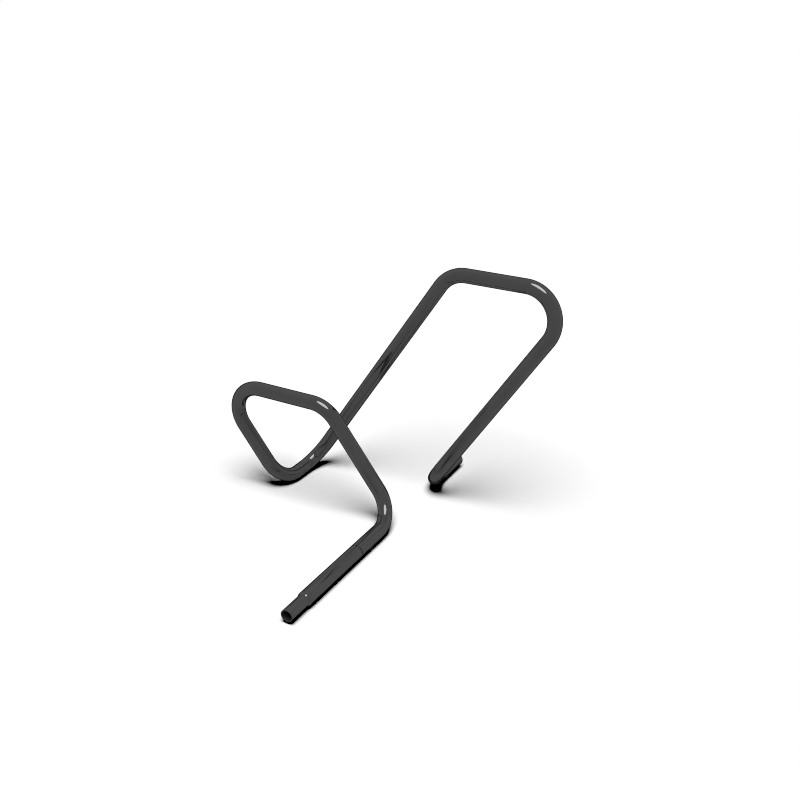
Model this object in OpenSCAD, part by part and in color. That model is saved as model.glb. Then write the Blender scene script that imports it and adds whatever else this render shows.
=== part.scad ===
// Leaning bike rack: one unit of a row, bent from round steel tube.
// It stands on the ground at z = 0 with the row running along Y. The ground tubes on the
// +X side carry on into the next units, and the short one on the -X side ties the two loops.

/* [Tube] */
// Outside diameter of the steel tube
tube_d = 48.3; // [42:0.1:60]
// Wall of the steel tube
tube_wall = 3.2; // [2:0.1:4]

/* [Loops] */
// Distance between the two feet of a loop, centre to centre
leg_span = 456; // [420:1:600]
// Distance between the feet of the low loop and those of the tall loop, along the row
loop_gap = 216; // [212:1:400]
// Height of the low loop above the ground
low_h = 414; // [340:1:520]
// Height of the tall loop above the ground
tall_h = 814; // [600:1:950]
// How far the legs lean to the side, in degrees from upright
lean_angle = 33; // [10:0.5:38]
// How far each loop leans away from the other, in degrees
splay_angle = 5.5; // [0:0.5:9]
// Centre line radius of the four top bends
top_bend_r = 105; // [80:1:110]
// Centre line radius of the four ground bends
ground_bend_r = 98; // [70:1:100]
// How far the tube draws in all round where it is bent
bend_draw = 0.05; // [0.02:0.01:0.3]
// Length of ground tube between the feet of a loop and the end of the bent tube
stub_len = 240; // [220:1:400]

/* [Front tube] */
// Length of the front tube with its reduced end
front_len = 371; // [200:1:900]
// Length of the reduced end that plugs into the next unit
spigot_len = 79; // [40:1:90]
// Length of the swaged shoulder behind the reduced end
shoulder_len = 13; // [6:1:40]
// Clearance all round between a reduced end and the bore that it plugs into
spigot_slip = 0.4; // [0.1:0.05:0.45]

/* [Joint sleeve] */
// Length of the sleeve inside the joint of the front tube and the low loop
sleeve_len = 160; // [80:1:200]
// Wall of the sleeve
sleeve_wall = 3; // [2:0.1:5]
// Open joint between the ends of the front tube and the low loop
joint_gap = 3; // [1:0.5:6]

/* [Ground lugs] */
// Width of the flat bar lugs, along the tube
lug_w = 25; // [16:1:40]
// Thickness of the lugs, which the ground tubes stand on
lug_t = 4; // [3:0.5:8]
// Distance from the front end of the bent tube to the middle of its lug
front_lug_inset = 70; // [50:1:110]
// Distance from the rear end of the bent tube to the middle of its lug
rear_lug_inset = 92; // [50:1:110]
// How far a lug shows past the middle of the tube on the outer side
lug_outer = 14; // [12:0.5:20]
// Distance from the middle of the tube to the fixing hole
lug_reach = 37; // [36:1:60]
// Diameter of the fixing holes
lug_hole_d = 12; // [8:0.5:14]

/* [Welds] */
// How far up the tube a lug weld reaches, in degrees from the bottom of the tube
lug_weld_angle = 40; // [30:1:50]
// Length that a lug weld stops short of each side of its lug
lug_weld_margin = 1; // [0.5:0.5:4]
// How far a lug weld stops short of the outer edge of its lug
lug_weld_toe = 2; // [1:0.5:4]
// Width of the weld between the two loops
loop_weld_w = 5; // [3:0.5:8]
// How far that weld stands proud of the tube
loop_weld_h = 0.4; // [0.2:0.1:1]

/* [Hidden] */
$fn = 72;
// How far a cutter runs past the end that it opens
past = 1;
// How far a bend runs on into the straight tube at each of its ends
bend_lap = 1;
shoulder_steps = 8;

tube_r = tube_d / 2;
bore_r = tube_r - tube_wall;
spigot_r = bore_r - spigot_slip;
spigot_bore_r = spigot_r - tube_wall;

// Centre line heights: the +X ground tubes stand on the lugs, the -X one on its weld
lug_side_z = lug_t + tube_r;
bare_side_z = loop_weld_h + tube_r;
low_rise = low_h - tube_r - lug_side_z;
tall_rise = tall_h - tube_r - lug_side_z;

// The sharp top corner of each loop sets how wide the unit is
sharp_corner_back = top_bend_r * tan(45 + lean_angle / 2);
tall_side_x = tall_rise * tan(lean_angle) - sharp_corner_back + top_bend_r + tube_r;
low_side_x = -leg_span - low_rise * tan(lean_angle) + sharp_corner_back - top_bend_r - tube_r;
front_end_y = -loop_gap / 2 - stub_len - joint_gap - front_len;
rear_end_y = loop_gap / 2 + stub_len;
// The origin is on the ground at the middle of the unit's box
foot_x = -(tall_side_x + low_side_x) / 2;
mid_y = -(front_end_y + rear_end_y) / 2;
low_foot_y = mid_y - loop_gap / 2;
tall_foot_y = mid_y + loop_gap / 2;
joint_y = low_foot_y - stub_len;
rear_y = tall_foot_y + stub_len;
front_lug_y = joint_y + front_lug_inset;
rear_lug_y = rear_y - rear_lug_inset;

// Corners of the two centre lines, and the bend radius at each corner between their ends
low_corners = [
    [foot_x, joint_y, lug_side_z],
    [foot_x, low_foot_y, lug_side_z],
    loop_top(low_foot_y, low_rise, -1, 0),
    loop_top(low_foot_y, low_rise, -1, leg_span),
    [foot_x - leg_span, low_foot_y, bare_side_z],
    [foot_x - leg_span, mid_y, bare_side_z]
];
low_radii = [0, ground_bend_r, top_bend_r, top_bend_r, ground_bend_r, 0];
tall_corners = [
    [foot_x - leg_span, mid_y, bare_side_z],
    [foot_x - leg_span, tall_foot_y, bare_side_z],
    loop_top(tall_foot_y, tall_rise, 1, leg_span),
    loop_top(tall_foot_y, tall_rise, 1, 0),
    [foot_x, tall_foot_y, lug_side_z],
    [foot_x, rear_y, lug_side_z]
];
tall_radii = [0, ground_bend_r, top_bend_r, top_bend_r, ground_bend_r, 0];

// A top corner: side is 1 for legs that lean to +X and -1 for legs that lean to -X,
// and across is the distance from the +X leg of the loop
function loop_top(foot_y, rise, side, across) = [
    foot_x + side * rise * tan(lean_angle) - across,
    foot_y + side * rise * tan(splay_angle),
    lug_side_z + rise
];

function unit(v) = v / norm(v);
function towards(from, to) = unit(to - from);
// The angle that a centre line turns through at a corner
function turn(before, corner, after) =
    acos(towards(before, corner) * towards(corner, after));
function corner_len(points, radii, i) = radii[i] == 0
    ? 0
    : radii[i] * tan(turn(points[i - 1], points[i], points[i + 1]) / 2);

// A round bar from one point to another, run on past its ends by the two extras
module bar(from, to, r, extra_from = 0, extra_to = 0) {
    along = towards(from, to);
    translate(from - along * extra_from)
        rotate([0, acos(along[2]), atan2(along[1], along[0])])
            cylinder(r = r, h = norm(to - from) + extra_from + extra_to);
}

// A round bar bent at a corner, a little thinner than the straights that its ends run into
module bend(before, corner, after, bend_r, r) {
    into = towards(before, corner);
    out = towards(corner, after);
    angle = turn(before, corner, after);
    start = corner - into * bend_r * tan(angle / 2);
    axis = unit(cross(into, out));
    inward = cross(axis, into);
    centre = start + inward * bend_r;
    lap = asin(bend_lap / bend_r);
    multmatrix([
        [-inward[0], into[0], axis[0], centre[0]],
        [-inward[1], into[1], axis[1], centre[1]],
        [-inward[2], into[2], axis[2], centre[2]]
    ])
        rotate([0, 0, -lap])
            rotate_extrude(angle = angle + 2 * lap)
                translate([bend_r, 0])
                    circle(r = r - bend_draw);
}

// A round bar along a whole centre line
module bent_bar(points, radii, r, extra = 0) {
    last = len(points) - 1;
    for (i = [0 : last - 1]) {
        along = towards(points[i], points[i + 1]);
        bar(
            points[i] + along * corner_len(points, radii, i),
            points[i + 1] - along * corner_len(points, radii, i + 1),
            r,
            i == 0 ? extra : 0,
            i == last - 1 ? extra : 0
        );
    }
    for (i = [1 : last - 1])
        bend(points[i - 1], points[i], points[i + 1], radii[i], r);
}

module bent_tube(points, radii) {
    difference() {
        bent_bar(points, radii, tube_r);
        bent_bar(points, radii, bore_r, past);
    }
}

// Radius of the swaged shoulder, an even S from the large end to the small one
function shoulder_r(share, large, small) = small + (large - small) * (1 + cos(180 * share)) / 2;

// Places a shape that stands along +Z so that it runs along -Y from a point of the joint
module along_front(y) {
    translate([foot_x, y, lug_side_z])
        rotate([90, 0, 0])
            children();
}

module front_tube() {
    plain_len = front_len - spigot_len - shoulder_len;
    shares = [for (i = [0 : shoulder_steps]) i / shoulder_steps];
    outside = [for (s = shares) [shoulder_r(s, tube_r, spigot_r), plain_len + s * shoulder_len]];
    inside = [for (s = shares) [shoulder_r(s, bore_r, spigot_bore_r), plain_len + s * shoulder_len]];
    backwards = [for (i = [shoulder_steps : -1 : 0]) inside[i]];
    color("dimgray")
        along_front(joint_y - joint_gap)
            rotate_extrude()
                polygon(concat(
                    [[bore_r, 0], [tube_r, 0]],
                    outside,
                    [[spigot_r, front_len], [spigot_bore_r, front_len]],
                    backwards
                ));
}

// The sleeve is pressed into both tubes, half of it on each side of the open joint
module joint_sleeve() {
    color("silver")
        along_front(joint_y - joint_gap / 2 + sleeve_len / 2)
            difference() {
                cylinder(r = bore_r, h = sleeve_len);
                translate([0, 0, -past])
                    cylinder(r = bore_r - sleeve_wall, h = sleeve_len + 2 * past);
            }
}

module low_loop() {
    color("dimgray")
        bent_tube(low_corners, low_radii);
}

module tall_loop() {
    color("dimgray")
        bent_tube(tall_corners, tall_radii);
}

// A dressed butt weld round the place where the two loops meet
module loop_weld() {
    color("dimgray")
        translate([foot_x - leg_span, mid_y + loop_weld_w / 2, bare_side_z])
            rotate([90, 0, 0])
                difference() {
                    cylinder(r = tube_r + loop_weld_h, h = loop_weld_w);
                    translate([0, 0, -past])
                        cylinder(r = tube_r, h = loop_weld_w + 2 * past);
                }
}

// A flat bar lug with a round end, under the tube and drilled beside it
module lug(y) {
    color("dimgray")
        translate([foot_x, y, 0])
            linear_extrude(height = lug_t)
                difference() {
                    union() {
                        translate([-lug_reach, -lug_w / 2])
                            square([lug_reach + lug_outer, lug_w]);
                        translate([-lug_reach, 0])
                            circle(r = lug_w / 2);
                    }
                    translate([-lug_reach, 0])
                        circle(r = lug_hole_d / 2);
                }
}

// Two welds in the narrow wedges between a tube and its lug
module lug_weld(y) {
    weld_len = lug_w - 2 * lug_weld_margin;
    toe = lug_outer - lug_weld_toe;
    color("dimgray")
        for (side = [-1, 1])
            translate([foot_x, y + weld_len / 2, lug_t])
                rotate([90, 0, 0])
                    linear_extrude(height = weld_len)
                        difference() {
                            polygon([
                                [0, 0],
                                [side * toe, 0],
                                [
                                    side * tube_r * sin(lug_weld_angle),
                                    tube_r * (1 - cos(lug_weld_angle))
                                ]
                            ]);
                            translate([0, tube_r])
                                circle(r = tube_r, $fn = 360);
                        }
}

front_tube();
joint_sleeve();
low_loop();
loop_weld();
tall_loop();
lug(front_lug_y);  // front_lug
lug(rear_lug_y);  // rear_lug
lug_weld(front_lug_y);  // front_lug_weld
lug_weld(rear_lug_y);  // rear_lug_weld
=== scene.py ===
import math

import bmesh
import bpy
from mathutils import Matrix, Vector


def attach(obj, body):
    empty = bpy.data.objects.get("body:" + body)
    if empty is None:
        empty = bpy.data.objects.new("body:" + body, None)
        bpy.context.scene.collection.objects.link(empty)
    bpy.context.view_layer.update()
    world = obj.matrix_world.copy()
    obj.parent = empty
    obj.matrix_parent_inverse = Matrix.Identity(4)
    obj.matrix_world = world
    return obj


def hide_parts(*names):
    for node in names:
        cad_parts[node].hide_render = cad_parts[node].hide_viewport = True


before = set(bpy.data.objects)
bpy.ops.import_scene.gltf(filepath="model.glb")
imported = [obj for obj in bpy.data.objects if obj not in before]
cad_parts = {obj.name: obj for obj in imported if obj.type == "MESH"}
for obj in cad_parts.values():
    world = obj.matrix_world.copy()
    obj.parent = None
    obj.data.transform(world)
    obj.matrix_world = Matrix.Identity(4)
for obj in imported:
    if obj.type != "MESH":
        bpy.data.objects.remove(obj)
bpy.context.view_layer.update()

mm = 0.001
samePoint = 0.001 * mm  # points closer than this count as one
up = Vector((0, 0, 1))
rowAxis = Vector((0, 1, 0))
scene = bpy.context.scene
print("frame loaded:", len(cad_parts), "nodes")


def colour(code):  # sRGB hex to linear
    shares = [int(code[i:i + 2], 16) / 255 for i in (1, 3, 5)]
    return [s / 12.92 if s <= 0.04045 else ((s + 0.055) / 1.055) ** 2.4 for s in shares] + [1]


def addNode(tree, kind, settings=None, links=None):  # sockets go by name or by number
    node = tree.nodes.new(kind)
    for name, value in (settings or {}).items():
        if isinstance(name, int) or name in node.inputs:
            node.inputs[name].default_value = value
        else:
            setattr(node, name, value)
    for name, source in (links or {}).items():
        tree.links.new(source, node.inputs[name])
    return node


camera = {
    "place": (1.5144, -2.3815, 1.7868),  # metres
    "tilt": 64.812,  # degrees up from looking straight down
    "swing": 29.581,  # degrees round from looking along the row
    "lens": 45.19,  # mm
    "film": 36,  # mm
    "softness": 1.0,  # pixels that each edge is blurred over
}

cameraData = bpy.data.cameras.new("camera")
cameraData.lens = camera["lens"]
cameraData.sensor_width = camera["film"]
cameraObject = bpy.data.objects.new("camera", cameraData)
cameraObject.location = camera["place"]
cameraObject.rotation_euler = (math.radians(camera["tilt"]), 0, math.radians(camera["swing"]))
scene.collection.objects.link(cameraObject)
scene.camera = cameraObject
scene.view_settings.view_transform = "Standard"
scene.cycles.filter_width = camera["softness"]
print("camera placed")

lamp = {
    "towards": (0.17, -0.28, 1.0),  # from the rack to the middle of the softbox
    "spread": 35.5,  # degrees across, as a 2 m softbox is from 3.5 m away
    "strength": 3.37,
}

softboxData = bpy.data.lights.new("softbox", "SUN")
softboxData.energy = lamp["strength"]
softboxData.angle = math.radians(lamp["spread"])
softbox = bpy.data.objects.new("softbox", softboxData)
softbox.rotation_mode = "QUATERNION"
softbox.rotation_quaternion = Vector(lamp["towards"]).to_track_quat("Z", "Y")
scene.collection.objects.link(softbox)

# White walls all round: the gloss shows them bright, but they give little light back.
room = {
    "shown": 1.0,  # brightness in the gloss
    "given": 0.02,  # brightness as a light on everything matt
}

world = bpy.data.worlds.new("whiteRoom")
world.use_nodes = True
roomTree = world.node_tree
roomTree.nodes.clear()
roomRays = addNode(roomTree, "ShaderNodeLightPath")
roomLevel = addNode(
    roomTree, "ShaderNodeMapRange", {"To Min": room["shown"], "To Max": room["given"]},
    {"Value": roomRays.outputs["Is Diffuse Ray"]},
)
walls = addNode(
    roomTree, "ShaderNodeBackground", {"Color": (1, 1, 1, 1)},
    {"Strength": roomLevel.outputs["Result"]},
)
addNode(roomTree, "ShaderNodeOutputWorld", links={"Surface": walls.outputs["Background"]})
scene.world = world
print("softbox and room set")


noiseSpan = (0.3, 0.7)  # nearly all of a noise lies between these
mixShare, mixFirst, mixSecond, mixResult = 0, 6, 7, 2  # sockets of a Mix node for colours


def startMaterial(name):
    material = bpy.data.materials.new(name)
    material.use_nodes = True
    tree = material.node_tree
    tree.nodes.clear()
    return material, tree


# Polyester powder coat, sprayed dry and baked: near black grey and glossy, so it takes its
# tone from the white room, with a faint orange peel that only ripples the highlights.
powderCoatLook = {
    "thinFilm": "#242424",
    "thickFilm": "#2b2b2b",
    "filmPatch": 70,  # mm between thick and thin film
    "peelSpacing": 3.5,  # mm, at the coarse end of real peel so that it shows
    "peelHeight": 0.006,  # mm
    "glossPatch": 18,  # mm
    "roughness": (0.05, 0.09),
    "shine": (0.5, 0.0),  # specular level face on and at the edges, where the peel shades itself
    "shineTurn": (0.3, 0.65),  # where it falls between the two, 0 face on and 1 edge on
    "ior": 1.5,
}


def makePowderCoat(name, look, rub=None):
    material, tree = startMaterial(name)
    place = addNode(tree, "ShaderNodeTexCoord").outputs["Object"]
    filmNoise = addNode(
        tree, "ShaderNodeTexNoise", {"Scale": 1 / (look["filmPatch"] * mm), "Detail": 2},
        {"Vector": place},
    )
    film = addNode(
        tree, "ShaderNodeMapRange", {"From Min": noiseSpan[0], "From Max": noiseSpan[1]},
        {"Value": filmNoise.outputs["Fac"]},
    )
    filmTint = {mixFirst: colour(look["thinFilm"]), mixSecond: colour(look["thickFilm"])}
    tint = addNode(
        tree, "ShaderNodeMix", {"data_type": "RGBA", **filmTint},
        {mixShare: film.outputs["Result"]},
    ).outputs[mixResult]

    glossNoise = addNode(
        tree, "ShaderNodeTexNoise", {"Scale": 1 / (look["glossPatch"] * mm), "Detail": 3},
        {"Vector": place},
    )
    smooth, rough = look["roughness"]
    gloss = addNode(
        tree, "ShaderNodeMapRange",
        {"From Min": noiseSpan[0], "From Max": noiseSpan[1], "To Min": smooth, "To Max": rough},
        {"Value": glossNoise.outputs["Fac"]},
    ).outputs["Result"]

    if rub:
        stretched = addNode(
            tree, "ShaderNodeMapping",
            {"Scale": [1 / (rub["width"] * mm * s) for s in rub["stretch"]]}, {"Vector": place},
        )
        rubNoise = addNode(
            tree, "ShaderNodeTexNoise", {"Scale": 1, "Detail": 2},
            {"Vector": stretched.outputs["Vector"]},
        )
        streaks = addNode(
            tree, "ShaderNodeMapRange", {"From Min": rub["starts"], "From Max": rub["full"]},
            {"Value": rubNoise.outputs["Fac"]},
        ).outputs["Result"]
        tint = addNode(
            tree, "ShaderNodeMix", {"data_type": "RGBA", mixSecond: colour(rub["shade"])},
            {mixShare: streaks, mixFirst: tint},
        ).outputs[mixResult]
        gloss = addNode(
            tree, "ShaderNodeMath", {"operation": "MULTIPLY_ADD", 1: rub["dulling"]},
            {0: streaks, 2: gloss},
        ).outputs["Value"]

    peelNoise = addNode(
        tree, "ShaderNodeTexNoise", {"Scale": 1 / (look["peelSpacing"] * mm), "Detail": 1},
        {"Vector": place},
    )
    peel = addNode(
        tree, "ShaderNodeBump", {"Strength": 1, "Distance": look["peelHeight"] * mm},
        {"Height": peelNoise.outputs["Fac"]},
    )
    turned = addNode(tree, "ShaderNodeLayerWeight", {"Blend": 0.5})
    turnStart, turnEnd = look["shineTurn"]
    faceOn, edgeOn = look["shine"]
    shine = addNode(
        tree, "ShaderNodeMapRange",
        {"From Min": turnStart, "From Max": turnEnd, "To Min": faceOn, "To Max": edgeOn},
        {"Value": turned.outputs["Facing"]},
    )
    surface = addNode(
        tree, "ShaderNodeBsdfPrincipled", {"IOR": look["ior"]},
        {
            "Base Color": tint,
            "Roughness": gloss,
            "Specular IOR Level": shine.outputs["Result"],
            "Normal": peel.outputs["Normal"],
        },
    )
    addNode(tree, "ShaderNodeOutputMaterial", links={"Surface": surface.outputs["BSDF"]})
    return material


powderCoat = makePowderCoat("powderCoatSprayed", powderCoatLook)

# The same coat on the plug-in end, rubbed by the sockets it has been in: fine streaks that
# run along it, a little paler and duller.
spigotRub = {
    "width": 0.9,  # mm, wider than real scuffs so that they show
    "stretch": (1, 60, 1),  # times the width, the long way along the row
    "starts": 0.5,  # share of the noise at which a streak starts
    "full": 0.75,
    "shade": "#2e2e2e",
    "dulling": 0.08,  # added to the roughness
}
rubbedCoat = makePowderCoat("powderCoatRubbed", powderCoatLook, spigotRub)

# The same coat over weld metal and hot rolled bar: the rougher ground shows through, so the
# highlights break up.
coarseCoatLook = dict(powderCoatLook, peelSpacing=2.2, peelHeight=0.03, roughness=(0.12, 0.2))
coarseCoat = makePowderCoat("powderCoatOverWeld", coarseCoatLook)

# Bore of a phosphated steel tube: dull grey iron phosphate deep inside, with overspray of
# the coat for the first few centimetres from each open mouth. That overspray is painted
# near black, darker than the coat itself, as painted shade inside each mouth.
boreLook = {
    # near black: the coat's overspray with painted shade of the mouth on it
    "oversprayShadeTone": "#101010",
    "steel": "#1e1d1c",
    "mouth": 535,  # mm from the middle of the rack to either mouth
    "reach": 70,  # mm that the overspray and its painted shade reach in
    "grain": 5,  # mm, far coarser than real phosphate so that it shows
    "grainHeight": 0.05,  # mm
    "roughness": (0.55, 0.8),
    "ior": 1.5,
}


def makeBore(name, look):
    material, tree = startMaterial(name)
    place = addNode(tree, "ShaderNodeTexCoord").outputs["Object"]
    split = addNode(tree, "ShaderNodeSeparateXYZ", links={"Vector": place})
    fromMiddle = addNode(
        tree, "ShaderNodeMath", {"operation": "ABSOLUTE"}, {0: split.outputs["Y"]}
    )
    # painted shade: the bore is painted darkest over its last few centimetres to each mouth
    oversprayShadeReach = addNode(
        tree, "ShaderNodeMapRange",
        {"From Min": (look["mouth"] - look["reach"]) * mm, "From Max": look["mouth"] * mm},
        {"Value": fromMiddle.outputs["Value"]},
    )
    steelAndShadeTints = {mixFirst: colour(look["steel"]), mixSecond: colour(look["oversprayShadeTone"])}
    tint = addNode(
        tree, "ShaderNodeMix", {"data_type": "RGBA", **steelAndShadeTints},
        {mixShare: oversprayShadeReach.outputs["Result"]},
    )
    grain = addNode(
        tree, "ShaderNodeTexNoise", {"Scale": 1 / (look["grain"] * mm), "Detail": 4},
        {"Vector": place},
    )
    smooth, rough = look["roughness"]
    gloss = addNode(
        tree, "ShaderNodeMapRange",
        {"From Min": noiseSpan[0], "From Max": noiseSpan[1], "To Min": smooth, "To Max": rough},
        {"Value": grain.outputs["Fac"]},
    )
    bump = addNode(
        tree, "ShaderNodeBump", {"Distance": look["grainHeight"] * mm},
        {"Height": grain.outputs["Fac"]},
    )
    surface = addNode(
        tree, "ShaderNodeBsdfPrincipled", {"IOR": look["ior"]},
        {
            "Base Color": tint.outputs[mixResult],
            "Roughness": gloss.outputs["Result"],
            "Normal": bump.outputs["Normal"],
        },
    )
    addNode(tree, "ShaderNodeOutputMaterial", links={"Surface": surface.outputs["BSDF"]})
    return material


phosphatedBoreShaded = makeBore("steelBorePhosphatedPaintedShade", boreLook)

# Hot-dip galvanised steel gone dull: crystals of zinc a few millimetres across, each with
# its own grey and its own gloss.
zincLook = {
    "dark": "#55585a",
    "light": "#6f7274",
    "spangle": 7,  # mm across a crystal
    "roughness": (0.35, 0.55),
    "pitSpacing": 4,  # mm
    "pitDepth": 0.03,  # mm
}


def makeZinc(name, look):
    material, tree = startMaterial(name)
    place = addNode(tree, "ShaderNodeTexCoord").outputs["Object"]
    crystals = addNode(
        tree, "ShaderNodeTexVoronoi", {"Scale": 1 / (look["spangle"] * mm)}, {"Vector": place}
    )
    share = addNode(tree, "ShaderNodeSeparateColor", links={"Color": crystals.outputs["Color"]})
    greys = {mixFirst: colour(look["dark"]), mixSecond: colour(look["light"])}
    tint = addNode(
        tree, "ShaderNodeMix", {"data_type": "RGBA", **greys}, {mixShare: share.outputs["Red"]}
    )
    smooth, rough = look["roughness"]
    gloss = addNode(
        tree, "ShaderNodeMapRange", {"To Min": smooth, "To Max": rough},
        {"Value": share.outputs["Green"]},
    )
    pits = addNode(
        tree, "ShaderNodeTexNoise", {"Scale": 1 / (look["pitSpacing"] * mm), "Detail": 3},
        {"Vector": place},
    )
    bump = addNode(
        tree, "ShaderNodeBump", {"Distance": look["pitDepth"] * mm},
        {"Height": pits.outputs["Fac"]},
    )
    surface = addNode(
        tree, "ShaderNodeBsdfPrincipled", {"Metallic": 1},
        {
            "Base Color": tint.outputs[mixResult],
            "Roughness": gloss.outputs["Result"],
            "Normal": bump.outputs["Normal"],
        },
    )
    addNode(tree, "ShaderNodeOutputMaterial", links={"Surface": surface.outputs["BSDF"]})
    return material


dullZinc = makeZinc("steelHotDipGalvanised", zincLook)
print("finishes made")


sharpTurn = 60  # degrees: an edge that turns further than this gets rounded


def parts(geometry, kind):
    return [g for g in geometry if isinstance(g, kind)]


def vertsOf(edges):  # each one once, always in the same order
    return list(dict.fromkeys(v for e in edges for v in e.verts))


def pull(bm, ring, by):  # draws a ring of edges out into a wall and gives its new end
    made = bmesh.ops.extrude_edge_only(bm, edges=ring)["geom"]
    verts = parts(made, bmesh.types.BMVert)
    bmesh.ops.translate(bm, verts=verts, vec=by)
    moved = set(verts)
    return [e for e in parts(made, bmesh.types.BMEdge) if moved.issuperset(e.verts)]


def revolve(bm, outline, centre, steps):  # turns a closed outline in mm all round the row axis
    ring = [bm.verts.new([c * mm for c in point]) for point in outline]
    for i, vert in enumerate(ring):
        bm.edges.new((vert, ring[i - 1]))
    bmesh.ops.spin(
        bm, geom=list(bm.verts) + list(bm.edges), cent=Vector(centre) * mm,
        axis=rowAxis, angle=math.tau, steps=steps, use_merge=True,
    )


def sharpEdges(bm):
    turn = math.radians(sharpTurn)
    return [e for e in bm.edges if len(e.link_faces) == 2 and e.calc_face_angle() > turn]


def soften(bm, edges, width, segments):
    bmesh.ops.bevel(
        bm, geom=edges, offset=width, offset_type="OFFSET", affect="EDGES",
        segments=segments, profile=0.5, material=-1, clamp_overlap=True,
    )


def addPiece(bm, name, node, materials):
    bmesh.ops.remove_doubles(bm, verts=bm.verts, dist=samePoint)
    bmesh.ops.recalc_face_normals(bm, faces=bm.faces)
    mesh = bpy.data.meshes.new(name)
    bm.to_mesh(mesh)
    bm.free()
    mesh.shade_smooth()
    for material in materials:
        mesh.materials.append(material)
    piece = bpy.data.objects.new(name, mesh)
    scene.collection.objects.link(piece)
    even = piece.modifiers.new("evenShading", "WEIGHTED_NORMAL")
    even.keep_sharp = True
    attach(piece, "root")
    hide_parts(node)
    print("made", name, len(mesh.polygons), "faces")


# The pieces' own sizes stand with the functions that make them, in mm.
tube = {
    "across": 48.3,
    "wall": 3.2,
    "sides": 72,
    "bendStep": 2.5,  # degrees
    "hold": 3,  # plain tube kept beside each end and bend, for even shading
    "rim": 0.5,
    "rimSteps": 3,
}
tubeR = tube["across"] / 2
boreR = tubeR - tube["wall"]


def sweepWall(bm, line, radii, radius):  # one wall along a bent line, giving its two end rings
    points = [Vector(p) * mm for p in line]
    hold = tube["hold"] * mm
    here = points[0]
    facing = up.rotation_difference(points[1] - here).to_matrix().to_4x4()
    made = bmesh.ops.create_circle(
        bm, segments=tube["sides"], radius=radius * mm, matrix=Matrix.Translation(here) @ facing
    )
    startRing = list(dict.fromkeys(e for v in made["verts"] for e in v.link_edges))
    ring = startRing
    for i in range(1, len(points)):
        along = (points[i] - points[i - 1]).normalized()
        last = i == len(points) - 1
        after = along if last else (points[i + 1] - points[i]).normalized()
        angle = along.angle(after)
        cut = radii[i] * mm * math.tan(angle / 2)
        stop = points[i] - along * cut
        for reach in (hold, (stop - here).length - 2 * hold, hold):
            ring = pull(bm, ring, along * reach)
        if last:
            break
        axis = along.cross(after).normalized()
        centre = stop + axis.cross(along) * radii[i] * mm
        turned = bmesh.ops.spin(
            bm, geom=ring, cent=centre, axis=axis, angle=angle,
            steps=round(math.degrees(angle) / tube["bendStep"]), use_merge=False,
        )
        ring = parts(turned["geom_last"], bmesh.types.BMEdge)
        here = points[i] + after * cut
    return startRing, ring


def makeTube(line, radii, outerR, innerR, rim):  # both walls, joined by softened rims
    bm = bmesh.new()
    ends = sweepWall(bm, line, radii, outerR)
    outside = len(bm.faces)
    sweepWall(bm, line, radii, innerR)
    for face in list(bm.faces)[outside:]:
        face.material_index = 1
    for ring, centre in zip(ends, (line[0], line[-1])):
        ledge = pull(bm, ring, (0, 0, 0))
        bmesh.ops.scale(
            bm, verts=vertsOf(ledge), vec=[innerR / outerR] * 3,
            space=Matrix.Translation(-Vector(centre) * mm),
        )
    bmesh.ops.remove_doubles(bm, verts=bm.verts, dist=10 * samePoint)
    bmesh.ops.recalc_face_normals(bm, faces=bm.faces)
    soften(bm, sharpEdges(bm), rim * mm, tube["rimSteps"])
    return bm


frontTube = {
    "length": 371,
    "spigot": 79,
    "shoulder": 13,
    "slip": 0.4,  # clearance in the next unit's socket
    "shoulderSteps": 14,
    "rim": 0.7,
}
spigotR = boreR - frontTube["slip"]


def makeFrontTube(look, x, y, z):  # from the middle of its joint end
    bm = bmesh.new()
    length = look["length"]
    shoulder = look["shoulder"]
    neck = length - look["spigot"]
    plain = neck - shoulder
    hold = tube["hold"]

    def shareDrawn(share):  # how far the wall is drawn in, along a smooth shoulder
        return (1 - math.cos(math.pi * share)) / 2

    def wallLine(large, small):  # (distance from the joint, radius) along one wall
        line = [(0, large), (hold, large), (plain - hold, large)]
        for i in range(look["shoulderSteps"] + 1):
            share = i / look["shoulderSteps"]
            line.append((plain + share * shoulder, large + (small - large) * shareDrawn(share)))
        return line + [(neck + hold, small), (length - hold, small), (length, small)]

    walls = wallLine(tubeR, spigotR) + wallLine(boreR, spigotR - tube["wall"])[::-1]
    outline = [(x, y - far, z + r) for far, r in walls]
    revolve(bm, outline, (x, 0, z), tube["sides"])
    bmesh.ops.remove_doubles(bm, verts=bm.verts, dist=samePoint)

    for face in bm.faces:
        spot = face.calc_center_median() / mm
        far = y - spot.y
        drawn = shareDrawn(min(max((far - plain) / shoulder, 0), 1))
        midWall = tubeR - tube["wall"] / 2 + (spigotR - tubeR) * drawn
        if math.hypot(spot.x - x, spot.z - z) < midWall:
            face.material_index = 1
        elif far > neck:
            face.material_index = 2
    soften(bm, sharpEdges(bm), look["rim"] * mm, tube["rimSteps"])
    return bm


loopWeld = {
    "width": 5,
    "proud": 0.4,
    "sink": 0.3,
    "sides": 144,
    "crownSteps": 10,
}


def makeLoopWeld(look, x, y, z):  # a flat band in the joint with a low rounded crown
    bm = bmesh.new()
    half = look["width"] / 2
    crown = [(-half, -look["sink"])]
    for i in range(look["crownSteps"] + 1):
        across = -1 + 2 * i / look["crownSteps"]
        crown.append((half * across, look["proud"] * (1 - across ** 2)))
    crown.append((half, -look["sink"]))
    outline = [(x, y + far, z + tubeR + r) for far, r in crown]
    revolve(bm, outline, (x, y, z), look["sides"])
    return bm


lugs = {
    "width": 25,
    "thick": 4,
    "outer": 14,  # past the middle of the tube on the side that shows
    "reach": 37,  # from the middle of the tube to the hole
    "hole": 12,
    "inset": {"front": 70, "rear": 92},  # from the ends of the bent tube
    "edge": 0.6,
    "edgeSteps": 2,
    "corner": 2,
    "cornerSteps": 4,
    "endSteps": 24,
    "holeSides": 40,
}


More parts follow.
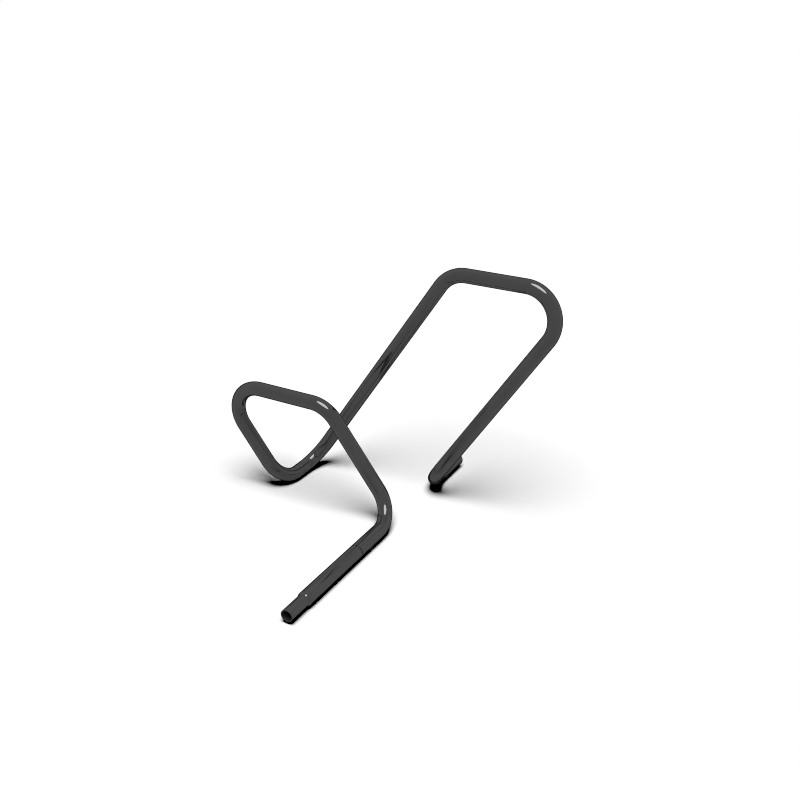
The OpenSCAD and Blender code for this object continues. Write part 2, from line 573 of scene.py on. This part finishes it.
def makeLug(look, x, y):  # under the tube's middle at x, y
    bm = bmesh.new()
    centre = Vector((x - look["reach"], y, 0)) * mm
    half = look["width"] / 2 * mm
    start = bm.verts.new(centre + Vector((0, half, 0)))
    turned = bmesh.ops.spin(
        bm, geom=[start], cent=centre, axis=up, angle=math.pi,
        steps=look["endSteps"], use_merge=False,
    )
    finish = parts(turned["geom_last"], bmesh.types.BMVert)[0]
    outerX = (x + look["outer"]) * mm
    corners = [bm.verts.new((outerX, finish.co.y, 0)), bm.verts.new((outerX, start.co.y, 0))]
    for pair in ((finish, corners[0]), corners, (corners[1], start)):
        bm.edges.new(pair)
    bmesh.ops.create_circle(
        bm, segments=look["holeSides"], radius=look["hole"] / 2 * mm,
        matrix=Matrix.Translation(centre),
    )
    bmesh.ops.triangle_fill(bm, edges=bm.edges, use_beauty=True, use_dissolve=False)
    raised = bmesh.ops.extrude_face_region(bm, geom=list(bm.faces))["geom"]
    raisedVerts = parts(raised, bmesh.types.BMVert)
    bmesh.ops.translate(bm, verts=raisedVerts, vec=(0, 0, look["thick"] * mm))
    bmesh.ops.recalc_face_normals(bm, faces=bm.faces)
    upright = [
        e for e in bm.edges
        if all(abs(v.co.x - outerX) < samePoint for v in e.verts)
        and abs(e.verts[0].co.z - e.verts[1].co.z) > samePoint
    ]
    soften(bm, upright, look["corner"] * mm, look["cornerSteps"])
    soften(bm, sharpEdges(bm), look["edge"] * mm, look["edgeSteps"])
    return bm


lugWeld = {
    "margin": 1,  # short of each side of the lug
    "toe": 2,  # short of the lug's outer edge
    "climb": 40,  # degrees up the tube
    "root": 4,  # from the middle of the tube to where the wedge closes
    "rootLift": 0.2,
    "sink": 0.15,  # into the tube and the lug
    "swell": 0.8,
    "swellOut": 0.85,  # share of the swell that goes outwards
    "swellDown": 0.5,  # and downwards
    "faceSteps": 8,
    "ripplePitch": 2.4,
    "rippleDepth": 0.04,  # share of the bead's size
    "taper": 2,  # length over which each end of the bead thins
    "endSize": 0.75,  # share of its size at the very end
    "slices": 66,
}


def makeLugWeld(look, x, y):  # a rippled fillet on each side of the lug's middle
    bm = bmesh.new()
    length = lugs["width"] - 2 * look["margin"]
    toeX = lugs["outer"] - look["toe"]
    sunkR = tubeR - look["sink"]
    steps = look["faceSteps"]
    climb = math.radians(look["climb"])
    rootAngle = math.asin(look["root"] / tubeR)
    topX = tubeR * math.sin(climb)
    topZ = tubeR * (1 - math.cos(climb))

    outline = [(look["root"], -look["sink"]), (toeX, -look["sink"])]
    for i in range(1, steps):
        share = i / steps
        bulge = look["swell"] * math.sin(math.pi * share)
        outline.append((
            toeX + (topX - toeX) * share + bulge * look["swellOut"],
            topZ * share - bulge * look["swellDown"],
        ))
    for i in range(steps + 1):
        angle = climb + (rootAngle - climb) * i / steps
        outline.append((sunkR * math.sin(angle), tubeR - sunkR * math.cos(angle)))

    for side in (-1, 1):
        ring = [
            bm.verts.new(Vector((x + side * across, y - length / 2, lugs["thick"] + height)) * mm)
            for across, height in outline
        ]
        startEdges = [bm.edges.new((vert, ring[i - 1])) for i, vert in enumerate(ring)]
        rootX = x + side * look["root"]
        root = Vector((rootX, 0, lugs["thick"] + look["rootLift"])) * mm
        edges = startEdges
        size = 1
        for i in range(1, look["slices"] + 1):
            far = length * i / look["slices"]
            wave = (1 + math.cos(math.tau * far / look["ripplePitch"])) / 2
            inward = min(1, far / look["taper"], (length - far) / look["taper"])
            body = look["endSize"] + (1 - look["endSize"]) * math.sqrt(max(inward, 0))
            newSize = (1 - look["rippleDepth"] * wave) * body
            edges = pull(bm, edges, (0, length / look["slices"] * mm, 0))
            grow = newSize / size
            bmesh.ops.scale(
                bm, verts=vertsOf(edges), vec=(grow, 1, grow), space=Matrix.Translation(-root)
            )
            size = newSize
        for rim in (startEdges, edges):
            bmesh.ops.edgeloop_fill(bm, edges=rim)
    return bm


# The sleeve is a plain short tube, and the loops' sizes place every piece.
sleeve = {
    "length": 160,
    "wall": 3,
    "gap": 3,  # open joint between the two tubes that it holds
    "slip": 0.05,
    "rim": 0.8,
}
loops = {
    "legSpan": 456,
    "loopGap": 216,
    "lowHeight": 414,
    "tallHeight": 814,
    "lean": 33,  # degrees
    "splay": 5.5,  # degrees
    "topBend": 105,
    "groundBend": 98,
    "stub": 240,
}

lugSideZ = lugs["thick"] + tubeR
bareSideZ = loopWeld["proud"] + tubeR
lowRise = loops["lowHeight"] - tubeR - lugSideZ
tallRise = loops["tallHeight"] - tubeR - lugSideZ
leanSlope = math.tan(math.radians(loops["lean"]))
splaySlope = math.tan(math.radians(loops["splay"]))
footX = (loops["legSpan"] - (tallRise - lowRise) * leanSlope) / 2
farX = footX - loops["legSpan"]
midY = (frontTube["length"] + sleeve["gap"]) / 2
lowFootY = midY - loops["loopGap"] / 2
tallFootY = midY + loops["loopGap"] / 2
jointY = lowFootY - loops["stub"]
rearY = tallFootY + loops["stub"]


def loopTop(footY, height, side, across):  # side is 1 for a lean to +X and -1 for a lean to -X
    x = footX + side * height * leanSlope - across
    return (x, footY + side * height * splaySlope, lugSideZ + height)


lowLine = [
    (footX, jointY, lugSideZ),
    (footX, lowFootY, lugSideZ),
    loopTop(lowFootY, lowRise, -1, 0),
    loopTop(lowFootY, lowRise, -1, loops["legSpan"]),
    (farX, lowFootY, bareSideZ),
    (farX, midY, bareSideZ),
]
tallLine = [
    (farX, midY, bareSideZ),
    (farX, tallFootY, bareSideZ),
    loopTop(tallFootY, tallRise, 1, loops["legSpan"]),
    loopTop(tallFootY, tallRise, 1, 0),
    (footX, tallFootY, lugSideZ),
    (footX, rearY, lugSideZ),
]
bendRadii = [0, loops["groundBend"], loops["topBend"], loops["topBend"], loops["groundBend"], 0]
print("sizes worked out")

for name, node, line in (("lowLoop", "low_loop", lowLine), ("tallLoop", "tall_loop", tallLine)):
    bentTube = makeTube(line, bendRadii, tubeR, boreR, tube["rim"])
    addPiece(bentTube, name, node, [powderCoat, phosphatedBoreShaded])

frontTubeWalls = makeFrontTube(frontTube, footX, jointY - sleeve["gap"], lugSideZ)
addPiece(
    frontTubeWalls, "frontTube", "front_tube",
    [powderCoat, phosphatedBoreShaded, rubbedCoat],
)

sleeveR = boreR - sleeve["slip"]
sleeveY = jointY - sleeve["gap"] / 2
sleeveLine = [
    (footX, sleeveY - sleeve["length"] / 2, lugSideZ),
    (footX, sleeveY + sleeve["length"] / 2, lugSideZ),
]
addPiece(
    makeTube(sleeveLine, [0, 0], sleeveR, sleeveR - sleeve["wall"], sleeve["rim"]),
    "jointSleeve", "joint_sleeve", [dullZinc, dullZinc],
)

jointWeld = makeLoopWeld(loopWeld, farX, midY, bareSideZ)
addPiece(jointWeld, "loopWeld", "loop_weld", [coarseCoat])

lugPlaces = {
    "front": jointY + lugs["inset"]["front"],
    "rear": rearY - lugs["inset"]["rear"],
}
for end, y in lugPlaces.items():
    lug = makeLug(lugs, footX, y)
    addPiece(lug, end + "Lug", end + "_lug", [coarseCoat])
    weld = makeLugWeld(lugWeld, footX, y)
    addPiece(weld, end + "LugWeld", end + "_lug_weld", [coarseCoat])


# Matt white studio paper: pale, and without gloss. It gives back more than the lamp's light
# and loses a fixed share again, so open paper stays white and its shadows go deeper.
floor = {
    "radius": 60,  # metres
    "sides": 96,
    "drop": 0.2,  # mm under the lugs
    "shade": "#fbfbfb",
    "deepen": 1.18,  # times as deep a shadow as the lamp alone gives, as in the photo
}


def makePaper(name, look):
    material, tree = startMaterial(name)
    rays = addNode(tree, "ShaderNodeLightPath")
    depth = addNode(
        tree, "ShaderNodeMapRange", {"To Min": look["deepen"], "To Max": 1},
        {"Value": rays.outputs["Is Glossy Ray"]},
    ).outputs["Result"]
    tint = addNode(
        tree, "ShaderNodeVectorMath", {"operation": "SCALE", 0: colour(look["shade"])[:3]},
        {"Scale": depth},
    )
    lit = addNode(tree, "ShaderNodeBsdfDiffuse", links={"Color": tint.outputs["Vector"]})
    loss = addNode(tree, "ShaderNodeMath", {"operation": "SUBTRACT", 0: 1}, {1: depth})
    lost = addNode(tree, "ShaderNodeEmission", links={"Strength": loss.outputs["Value"]})
    both = addNode(
        tree, "ShaderNodeAddShader", links={0: lit.outputs["BSDF"], 1: lost.outputs["Emission"]}
    )
    addNode(tree, "ShaderNodeOutputMaterial", links={"Surface": both.outputs["Shader"]})
    material.cycles.emission_sampling = "NONE"
    return material


ground = bmesh.new()
bmesh.ops.create_circle(
    ground, cap_ends=True, segments=floor["sides"], radius=floor["radius"],
    matrix=Matrix.Translation((0, 0, -floor["drop"] * mm)),
)
groundMesh = bpy.data.meshes.new("floor")
ground.to_mesh(groundMesh)
ground.free()
groundMesh.materials.append(makePaper("paperMattWhite", floor))
groundObject = bpy.data.objects.new("floor", groundMesh)
scene.collection.objects.link(groundObject)
print("floor laid")
